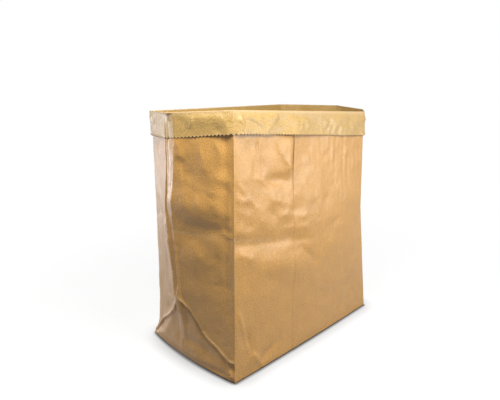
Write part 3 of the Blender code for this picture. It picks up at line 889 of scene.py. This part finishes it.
def cuff_stance(x, y, down, shape):
    """How far the cuff stands off the wall: flare times the share of the way down, squared.

    Its lower edge gapes along the front by GAPE, and elsewhere by sines of the angle
    round the bag.
    """
    angle = np.arctan2(y, x)
    front = smooth_fall(-0.10, 0.02, y)
    gape = np.interp(x, GAPE_X, GAPE)
    loose = 0.5 + 0.25 * np.sin(5 * angle + 0.4) + 0.15 * np.sin(11 * angle + 2.0)
    return shape.cuff_flare * (gape * front + loose * (1 - front)) * down ** 2


def cuff_grid(shape):
    """The whole turned-down band as one ring, with the columns where each strip starts.

    A column hangs from the rim by the length of tube that is turned over there. Its
    first row is cut in teeth: a triangle wave of the pinking's pitch and depth.
    """
    hang = np.linspace(1, 0, 13)
    widths = np.array([math.dist(RIM[k][:2], RIM[(k + 1) % 8][:2]) for k in range(8)])
    teeth = [max(1, round(width / shape.pinking_pitch)) for width in widths]
    stretches = []
    for strip, (width, count) in enumerate(zip(widths, teeth)):
        near = np.array([0, 0.0009, width - 0.0009, width]) / width
        shares = np.unique(np.concatenate([np.linspace(0, 1, 4 * count + 1), near]))
        stretches.append((strip, strip + 1, shares))

    def height_of(strip, rim, shares):
        wave = np.abs((shares * teeth[strip]) % 1 * 2 - 1)
        full = TUBE_LENGTH - rim
        cut = full - shape.pinking_depth - 0.001
        depth = 0.0003 + hang[:, None] * (cut - 0.0003)[None, :]
        tips = full - shape.pinking_depth * (1 - wave)
        return rim[None, :] - np.vstack([tips, depth])

    wall = lofted_wall(stretches, height_of, shape, closed=True)
    normals = wall["normals"].copy()
    normals[0] = normals[1]
    starts = np.cumsum([0] + [len(shares) - 1 for _, _, shares in stretches])
    from_end = np.minimum(wall["share"], 1 - wall["share"]) * widths[wall["home"].astype(int)]
    down = np.broadcast_to(np.append(1.08, hang)[:, None], wall["z"].shape)
    a, z = wall["across"], wall["z"]
    soft = 0.0009 + waves(a, z, CUFF_WAVES)
    soft += 5.5 * crumple(a, z, 9) + pressed(a, z, [], CUFF_CREASES)
    stance = cuff_stance(wall["x"], wall["y"], down, shape)
    stance = stance + np.maximum(soft, -0.0004) * smooth(0.04, 0.25, down)
    stance = stance * smooth(-0.004, 0.014, from_end) + middle_fold(wall, shape)
    wall["points"] = wall["points"] + normals * stance[..., None]
    wall["normals"] = normals_of(wall["points"], True)
    return wall, starts


def build_cuffs(shape):
    """Two plies for each cuff strip, cut from the band between its two corner lines."""
    wall, starts = cuff_grid(shape)
    band, out = (np.concatenate([wall[key], wall[key][:, :1]], axis=1)
                 for key in ("points", "normals"))
    flat = flat_places(wall, True)
    pieces = []
    for strip, body in enumerate(STRIPS):
        span = slice(starts[strip], starts[strip + 1] + 1)
        points, normals = band[:, span], out[:, span]
        down = np.linspace(1, 0, points.shape[0])[:, None]
        ends = np.minimum(np.arange(points.shape[1]), np.arange(points.shape[1])[::-1])
        worn = 0.7 * np.exp(-down * 16) + 0.35 * np.exp(-ends)[None, :] + 0.5 * (down == 1)
        worn = np.clip(worn, 0, 1)
        for ply, level in (("outer_ply", CUFF_GAP), ("liner", CUFF_GAP + LAYER)):
            outer = points + normals * (level + PLY)
            inner = points + normals * level
            piece = solid_sheet(f"{body}_{ply}_paper", outer, inner, flat[:, span], worn)
            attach(piece, body)
            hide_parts(f"{body}_{ply}")
            pieces.append((piece, ply))
    return pieces


def base_sheet(name, corners, height, counts, shape, lifted=0.0):
    """A flat sheet of the base between four corners, curled up where the bag's edge is.

    point = bilinear blend of the corners, at height + edge lift e^(-distance to wall / 20 mm).
    """
    u, v = np.meshgrid(np.linspace(0, 1, counts[0]), np.linspace(0, 1, counts[1]))
    edge = np.minimum(np.minimum(u, 1 - u), np.minimum(v, 1 - v))
    first, second, third, fourth = (np.array(corner) for corner in corners)
    u, v = u[..., None], v[..., None]
    level = (first * (1 - u) + second * u) * (1 - v) + (fourth * (1 - u) + third * u) * v
    x, y = level[..., 0], level[..., 1]
    to_side, to_front = HALF_WIDTH - np.abs(x), HALF_DEPTH - np.abs(y)
    curl = edge_lift(np.sign(x) * HALF_WIDTH, y, shape) * np.exp(-np.maximum(to_side, 0) / 0.020)
    fore = edge_lift(x, np.sign(y) * HALF_DEPTH, shape) * np.exp(-np.maximum(to_front, 0) / 0.020)
    z = height + np.maximum(curl, fore) + lifted * np.abs(rumple(x, y, 0.06, 12))
    ends, sides = base_bow(x, y, shape)
    top = np.stack([x + ends, y + sides, z + PLY], axis=-1)
    worn = np.clip(0.4 * np.exp(-edge * 40), 0, 1)
    return solid_sheet(name, top, top - (0, 0, PLY), level, worn)


def build_base(shape):
    """The pasted base: two flaps that lap under the middle, two tucks, and the liner's base."""
    w, d, lap = HALF_WIDTH - shape.base_radius, HALF_DEPTH - shape.base_radius, 0.015
    tip, gap = HALF_WIDTH - HALF_DEPTH, 0.001
    left_tuck = [(-w + gap, -d + gap), (-tip, -gap), (-tip, gap), (-w + gap, d - gap)]
    right_tuck = [(-x, y) for x, y in left_tuck]
    right_tuck = [right_tuck[k] for k in (1, 0, 3, 2)]
    sheets = [
        ("base_front_flap", [(-w, -d), (w, -d), (tip + lap, lap), (-tip - lap, lap)],
         0, (120, 40), 0),
        ("base_back_flap", [(-tip - lap, -lap), (tip + lap, -lap), (w, d), (-w, d)],
         LAYER, (120, 40), 0),
        ("base_left_tuck", left_tuck, 2 * LAYER, (40, 60), 0),
        ("base_right_tuck", right_tuck, 2 * LAYER, (40, 60), 0),
        ("liner_base", [(-w + gap, -d + gap), (w - gap, -d + gap), (w - gap, d - gap),
                        (-w + gap, d - gap)], 3 * LAYER, (140, 90), 0.0012)]
    pieces = []
    for node, corners, height, counts, lifted in sheets:
        piece = base_sheet(f"{node}_paper", corners, height, counts, shape, lifted)
        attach(piece, "bag")
        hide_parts(node)
        pieces.append(piece)
    return pieces


class Wire:
    """A node socket that takes Python's sums, so shader maths reads as an expression."""

    def __init__(self, paint, socket):
        self.paint = paint
        self.socket = socket

    def math(self, operation, *values):
        return self.paint.node("ShaderNodeMath", {"operation": operation}, *values)

    def __add__(self, other):
        return self.math("ADD", self, other)

    def __radd__(self, other):
        return self.math("ADD", other, self)

    def __sub__(self, other):
        return self.math("SUBTRACT", self, other)

    def __rsub__(self, other):
        return self.math("SUBTRACT", other, self)

    def __mul__(self, other):
        return self.math("MULTIPLY", self, other)

    def __rmul__(self, other):
        return self.math("MULTIPLY", other, self)

    def __pow__(self, other):
        return self.math("POWER", self, other)


class Paint:
    """The node tree of a material or world, with one method that adds a node."""

    def __init__(self, owner):
        owner.use_nodes = True
        self.owner = owner
        self.tree = owner.node_tree
        self.tree.nodes.clear()

    def put(self, socket, value):
        """Link or set a socket."""
        if isinstance(value, Wire):
            self.tree.links.new(value.socket, socket)
        else:
            socket.default_value = value

    def node(self, kind, settings, *values, output=0, **named):
        """Add a node: its settings first, then values or links by place or by name."""
        node = self.tree.nodes.new(kind)
        for key, value in settings.items():
            setattr(node, key, value)
        for socket, value in zip(node.inputs, values):
            self.put(socket, value)
        for key, value in named.items():
            self.put(node.inputs[key.replace("_", " ")], value)
        return Wire(self, node.outputs[output]) if node.outputs else None

    def mix(self, share, first, second):
        """Blend of two colours."""
        node = self.tree.nodes.new("ShaderNodeMix")
        node.data_type = "RGBA"
        for socket, value in ((0, share), (6, first), (7, second)):
            self.put(node.inputs[socket], value)
        return Wire(self, node.outputs[2])

    def vector(self, operation, *values, output=0):
        """A Vector Math node."""
        return self.node("ShaderNodeVectorMath", {"operation": operation}, *values, output=output)

    def noise(self, vector, scale, detail, rough):
        """Noise from 0 to 1, at scale cells per unit of the vector."""
        return self.node("ShaderNodeTexNoise", {"noise_dimensions": "2D"}, Scale=1.0, Detail=detail,
                         Vector=self.vector("MULTIPLY", vector, (*scale, 1)), Roughness=rough)

    def finish(self, shader, kind="ShaderNodeOutputMaterial"):
        """Put a shader on the output, and give back the material or world."""
        self.node(kind, {}, shader)
        return self.owner

    def ramp(self, value, *ends):
        """A value mapped from one range to another, and held at its ends."""
        return self.node("ShaderNodeMapRange", {"clamp": True}, value, *ends)

    def nearness(self, distance, samples):
        """1 on an open surface, and less where another is within the distance."""
        return self.node("ShaderNodeAmbientOcclusion", {"samples": samples}, Distance=distance,
                         output=1)


def tinted(colour, red, green, blue):
    """A colour with its parts multiplied."""
    return (colour[0] * red, colour[1] * green, colour[2] * blue, 1)


def kraft(name, light, dark, worn, paper, contrast):
    """Kraft paper with a machine finish, on the sheet's own metres.

    Its colour runs between a dark and a light one by cloudy formation, streaks along the
    web, grain and fibres. Folds are paler and rougher. Narrow gaps, such as under the cuff's
    edge, get painted shade: the colour darkens towards deep brown where ambient occlusion
    finds paper close by. Ripples, small flat planes, grain and fibres stand up in the bump.
    """
    paint = Paint(bpy.data.materials.new(name))
    place = paint.node("ShaderNodeUVMap", {"uv_map": "sheet"})
    fold = paint.node("ShaderNodeAttribute", {"attribute_name": "worn"}, output=2)
    # Cells per metre across the web and along it, detail and roughness
    clouds = paint.noise(place, (26, 19), 4.0, 0.6)
    streaks = paint.noise(place, (240, 6), 2.0, 0.6)
    grain = paint.noise(place, (430, 330), 2.0, 0.6)
    fibres = paint.noise(place, (1500, 420), 2.0, 0.7)
    ripple = paint.noise(place, (85, 65), 4.0, 0.6)
    bent = paint.vector("ADD", paint.vector("MULTIPLY", place, (60, 48, 1)),
                        paint.vector("MULTIPLY", ripple, (1.2, 1.2, 0)))
    planes = paint.node("ShaderNodeTexVoronoi", {"voronoi_dimensions": "2D", "feature": "F1"},
                        Vector=bent, Scale=1.0, Detail=1.5, Roughness=0.5)
    share = 0.5 + contrast * (paper.formation * (clouds - 0.5) + paper.streaks * (streaks - 0.5)
                              + paper.grain * (grain - 0.5) + paper.fibres * (fibres - 0.5))
    base = paint.mix(share, dark, light)
    flecks = paint.ramp(grain, 0.62, 0.74, 0.0, paper.flecks)
    base = paint.mix(flecks, base, tinted(dark, 0.60, 0.55, 0.5))
    base = paint.mix(fold * (0.35 + 0.4 * grain), base, worn)
    # Painted shade: where ambient occlusion finds paper within 8 mm, as under the cuff's edge, the
    # colour is tinted deep brown in place of the gap's shadow
    shade = paint.ramp(paint.nearness(0.008, 6), 0.48, 0.80, paper.creases, 0.0)
    base = paint.mix(shade, base, tinted(dark, 0.22, 0.16, 0.12))
    rough = paper.roughness + 0.10 * (clouds - 0.5) + 0.12 * fold + 0.10 * (grain - 0.5)
    rough = rough + 0.5 * shade
    level = ripple - 0.5
    ridges = level.math("ABSOLUTE", level)
    height = grain * 0.6 + fibres * 0.10 - ridges * 1.8 + planes * 0.8 + fold * grain * 0.4
    bump = paint.node("ShaderNodeBump", {}, Strength=paper.bump, Distance=0.0006, Height=height)
    return paint.finish(paint.node("ShaderNodeBsdfPrincipled", {}, Base_Color=base, Roughness=rough,
                                   Normal=bump, IOR=1.6, Coat_Weight=0.14, Coat_Roughness=0.30))


def paper_material(ply):
    """The kraft of a ply, made once."""
    name = "outer_kraft_paper" if ply == "outer_ply" else "liner_kraft_paper"
    found = bpy.data.materials.get(name)
    if found:
        return found
    paper = bpy.context.scene.bag_paper
    if ply == "outer_ply":
        light, dark, contrast = paper.outer_light, paper.outer_dark, 1.0
    else:
        light, dark, contrast = paper.liner_light, paper.liner_dark, 1.6
    return kraft(name, tuple(light), tuple(dark), tuple(paper.worn), paper, contrast)


def dress(piece, ply):
    """Give a piece its ply's paper."""
    piece.data.materials.append(paper_material(ply))


def wall_nodes(prefix):
    """The frame's wall nodes of one ply."""
    return [node for node in frame["nodes"] if node.startswith(prefix) and node != "liner_base"]


def metres(name, words, default, low=0.0):
    """A setting in metres."""
    return bpy.props.FloatProperty(name=name, description=words, default=default, min=low,
                                   unit="LENGTH")


def watts(name, words, default):
    """A setting for a lamp's power."""
    return bpy.props.FloatProperty(name=name, description=words, default=default, min=0,
                                   unit="POWER")


def factor(name, words, default, high=1.0):
    """A setting that is a plain number."""
    return bpy.props.FloatProperty(name=name, description=words, default=default, min=0, max=high)


def kraft_colour(name, words, red, green, blue):
    """A setting that is a colour."""
    return bpy.props.FloatVectorProperty(name=name, description=words, subtype="COLOR", size=4,
                                         min=0, max=1, default=(red, green, blue, 1))


class BagShape(bpy.types.PropertyGroup):
    """Sizes of the handled paper."""

    bulge: metres("Panel bulge", "Bulge of the two wide panels", 0.012)
    soft_radius: metres("Soft corner radius",
                        "Rounding of the right corners near the rim", 0.030, 0.002)
    crease_radius: metres("Crease radius", "Rounding of the left corners", 0.0014, 0.0005)
    base_radius: metres("Base fold radius", "Rounding of the fold round the base", 0.0025, 0.001)
    middle_fold: factor("Gusset fold",
                        "Strength of the fold beside a gusset's middle line", 1.0, 1.5)
    edge_lift: metres("Base edge lift",
                      "How far the base's edge curls up between its corners", 0.005)
    base_bow: metres("Base bow",
                     "How far the ends of the base bow outward between its corners", 0.016)
    crinkle: factor("Crinkle", "Strength of the folds, dents and rumples", 1.0, 2)
    cuff_flare: metres("Cuff flare", "How far the cuff's lower edge stands off the wall", 0.0045)
    fold_radius: metres("Rim fold radius", "Radius of the fold on the rim", 0.0016, 0.001)
    pinking_pitch: metres("Pinking pitch",
                          "Distance between the teeth of the cut edge", 0.0085, 0.002)
    pinking_depth: metres("Pinking depth", "Depth of the teeth", 0.003)


class BagPaper(bpy.types.PropertyGroup):
    """Colours and finish of the two papers."""

    outer_light: kraft_colour("Outer light", "Palest outer kraft", 0.705, 0.372, 0.091)
    outer_dark: kraft_colour("Outer dark", "Darkest outer kraft", 0.46, 0.228, 0.048)
    liner_light: kraft_colour("Liner light", "Palest liner kraft", 0.60, 0.385, 0.118)
    liner_dark: kraft_colour("Liner dark", "Darkest liner kraft", 0.40, 0.235, 0.058)
    worn: kraft_colour("Worn folds", "Paper whose surface has broken in a fold", 0.80, 0.60, 0.36)
    roughness: factor("Roughness", "Roughness of the machine finish", 0.43)
    formation: factor("Formation", "Cloudiness of the sheet", 0.5, 2)
    streaks: factor("Streaks", "Streaks along the web", 0.2, 2)
    grain: factor("Grain", "Contrast of the sheet's grain", 2.5, 3)
    fibres: factor("Fibres", "Contrast of the fibres", 0.7, 2)
    flecks: factor("Flecks", "Strength of dark flecks", 0.35)
    bump: factor("Bump", "Height of ripples, grain and fibres", 0.8)
    # Strength of the painted shade in narrow gaps, which stands in for their shadow
    creases: factor("Creases", "Darkening in narrow gaps", 0.95)


class BagStage(bpy.types.PropertyGroup):
    """Lamps and floor."""

    key: watts("Key lamp", "Large lamp high at the front", 8.1)
    rim: watts("Back lamp", "Soft lamp behind at the left", 18.5)
    left: watts("Left lamp", "Soft lamp high at the left", 4.4)
    right: watts("Right lamp", "Soft lamp at the front right", 3.9)
    fill: factor("Room light", "Strength of the even light from all sides", 0.05, 10)
    floor: factor("Floor", "How much light the floor throws back on the bag", 0.27)


class BAG_OT_outer_ply(bpy.types.Operator):
    """Build the outer ply of the wall."""

    bl_idname = "bag.outer_ply"
    bl_label = "Outer ply"

    def execute(self, context):
        piece = build_outer_ply(context.scene.bag_shape)
        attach(piece, "bag")
        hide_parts(*wall_nodes("outer_"))
        dress(piece, "outer_ply")
        return {"FINISHED"}


class BAG_OT_liner_ply(bpy.types.Operator):
    """Build the liner ply of the wall."""

    bl_idname = "bag.liner_ply"
    bl_label = "Liner ply"

    def execute(self, context):
        piece = build_liner_ply(context.scene.bag_shape)
        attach(piece, "bag")
        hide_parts(*wall_nodes("liner_"))
        dress(piece, "liner")
        return {"FINISHED"}


class BAG_OT_base(bpy.types.Operator):
    """Build the pasted base: flaps, tucks and the liner's base."""

    bl_idname = "bag.base"
    bl_label = "Pasted base"

    def execute(self, context):
        for piece in build_base(context.scene.bag_shape):
            dress(piece, "liner" if "liner" in piece.name else "outer_ply")
        return {"FINISHED"}


class BAG_OT_rim_fold(bpy.types.Operator):
    """Build the rounded fold on the rim."""

    bl_idname = "bag.rim_fold"
    bl_label = "Rim fold"

    def execute(self, context):
        piece = build_rim_fold(context.scene.bag_shape)
        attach(piece, "bag")
        dress(piece, "liner")
        return {"FINISHED"}


class BAG_OT_cuffs(bpy.types.Operator):
    """Build the eight turned-down cuff strips, two plies each."""

    bl_idname = "bag.cuffs"
    bl_label = "Cuff strips"

    def execute(self, context):
        for piece, ply in build_cuffs(context.scene.bag_shape):
            dress(piece, ply)
        return {"FINISHED"}


def add_lamp(name, place, aim, size, colour, power):
    """A square soft lamp that faces a point."""
    lamp = bpy.data.lights.new(name, "AREA")
    lamp.shape = "SQUARE"
    lamp.size = size
    lamp.energy = power
    lamp.color = colour
    holder = bpy.data.objects.new(name, lamp)
    holder.location = place
    holder.rotation_euler = (Vector(aim) - Vector(place)).to_track_quat("-Z", "Y").to_euler()
    bpy.context.scene.collection.objects.link(holder)


def seen_directly(paint):
    """1 where the camera sees a surface directly, in a mirror or through glass."""
    node = paint.tree.nodes.new("ShaderNodeLightPath")
    camera, glossy, through = (Wire(paint, node.outputs[name]) for name in
                               ("Is Camera Ray", "Is Glossy Ray", "Is Transmission Ray"))
    rays = camera + glossy + through
    return rays.math("MINIMUM", rays, 1.0)


def make_floor(bounce):
    """A pale floor whose shadow shows on white."""
    r = FLOOR_REACH
    mesh = bpy.data.meshes.new("floor")
    mesh.from_pydata([(-r, -r, 0), (r, -r, 0), (r, r, 0), (-r, r, 0)], [], [(0, 1, 2, 3)])
    floor = add_piece("floor", mesh)
    paint = Paint(bpy.data.materials.new("pale_floor"))
    plain = paint.node("ShaderNodeBsdfDiffuse", {}, Color=(bounce, bounce, bounce, 1))
    shown = paint.node("ShaderNodeBsdfDiffuse", {}, Color=(0.16, 0.16, 0.16, 1))
    place = paint.node("ShaderNodeTexCoord", {}, output=3)
    white = paint.ramp(paint.vector("LENGTH", place, output=1), 0.4, 1.4, 0.90, 1.0)
    shadow = paint.nearness(0.045, 16) ** 0.8 * paint.nearness(0.008, 16) ** 2.2
    glow = paint.node("ShaderNodeEmission", {}, Color=(1, 1, 1, 1), Strength=white * shadow)
    both = paint.node("ShaderNodeAddShader", {}, shown, glow)
    shader = paint.node("ShaderNodeMixShader", {}, seen_directly(paint), plain, both)
    mesh.materials.append(paint.finish(shader))


def make_world(fill):
    """Even light from all sides, and white where the camera looks past the floor."""
    paint = Paint(bpy.data.worlds.new("studio"))
    dim = paint.node("ShaderNodeBackground", {}, Color=(1, 1, 1, 1), Strength=fill)
    white = paint.node("ShaderNodeBackground", {}, Color=(1, 1, 1, 1), Strength=1.0)
    shader = paint.node("ShaderNodeMixShader", {}, seen_directly(paint), dim, white)
    bpy.context.scene.world = paint.finish(shader, "ShaderNodeOutputWorld")


def make_camera():
    """The camera at the photograph's place."""
    camera = bpy.data.cameras.new("camera")
    camera.sensor_width = SENSOR_WIDTH
    camera.lens = FOCAL_SHARE * SENSOR_WIDTH
    holder = bpy.data.objects.new("camera", camera)
    yaw, pitch = math.radians(CAMERA_YAW), math.radians(CAMERA_PITCH)
    holder.location = CAMERA_PLACE
    holder.rotation_euler = (math.pi / 2 - pitch, 0, -yaw)
    bpy.context.scene.collection.objects.link(holder)
    bpy.context.scene.camera = holder


class BAG_OT_stage(bpy.types.Operator):
    """Set the floor, the lamps, the world and the camera."""

    bl_idname = "bag.stage"
    bl_label = "Stage"

    def execute(self, context):
        stage = context.scene.bag_stage
        context.scene.view_settings.view_transform = "Standard"
        make_floor(stage.floor)
        make_world(stage.fill)
        for name, setting, *rest in LAMPS:
            add_lamp(name, *rest, getattr(stage, setting))
        make_camera()
        return {"FINISHED"}


OPERATORS = (BAG_OT_outer_ply, BAG_OT_liner_ply, BAG_OT_base, BAG_OT_rim_fold, BAG_OT_cuffs,
             BAG_OT_stage)


class BAG_PT_panel(bpy.types.Panel):
    """The bag's pieces and sizes."""

    bl_idname = "BAG_PT_panel"
    bl_label = "Paper yard waste bag"
    bl_space_type = "VIEW_3D"
    bl_region_type = "UI"
    bl_category = "Yard Bag"

    def draw(self, context):
        layout = self.layout
        for operator in OPERATORS:
            layout.operator(operator.bl_idname)
        for group in (context.scene.bag_shape, context.scene.bag_paper, context.scene.bag_stage):
            box = layout.box()
            for name in group.__annotations__:
                box.prop(group, name)


CLASSES = (BagShape, BagPaper, BagStage, *OPERATORS, BAG_PT_panel)
GROUPS = {"bag_shape": BagShape, "bag_paper": BagPaper, "bag_stage": BagStage}


def register():
    for entry in CLASSES:
        bpy.utils.register_class(entry)
    for name, group in GROUPS.items():
        setattr(bpy.types.Scene, name, bpy.props.PointerProperty(type=group))


def unregister():
    for name in GROUPS:
        delattr(bpy.types.Scene, name)
    for entry in reversed(CLASSES):
        bpy.utils.unregister_class(entry)


def main():
    """Build every piece in order."""
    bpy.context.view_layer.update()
    register()
    bpy.ops.bag.outer_ply()
    bpy.ops.bag.liner_ply()
    bpy.ops.bag.base()
    bpy.ops.bag.rim_fold()
    bpy.ops.bag.cuffs()
    bpy.ops.bag.stage()


if __name__ == "__main__":
    main()
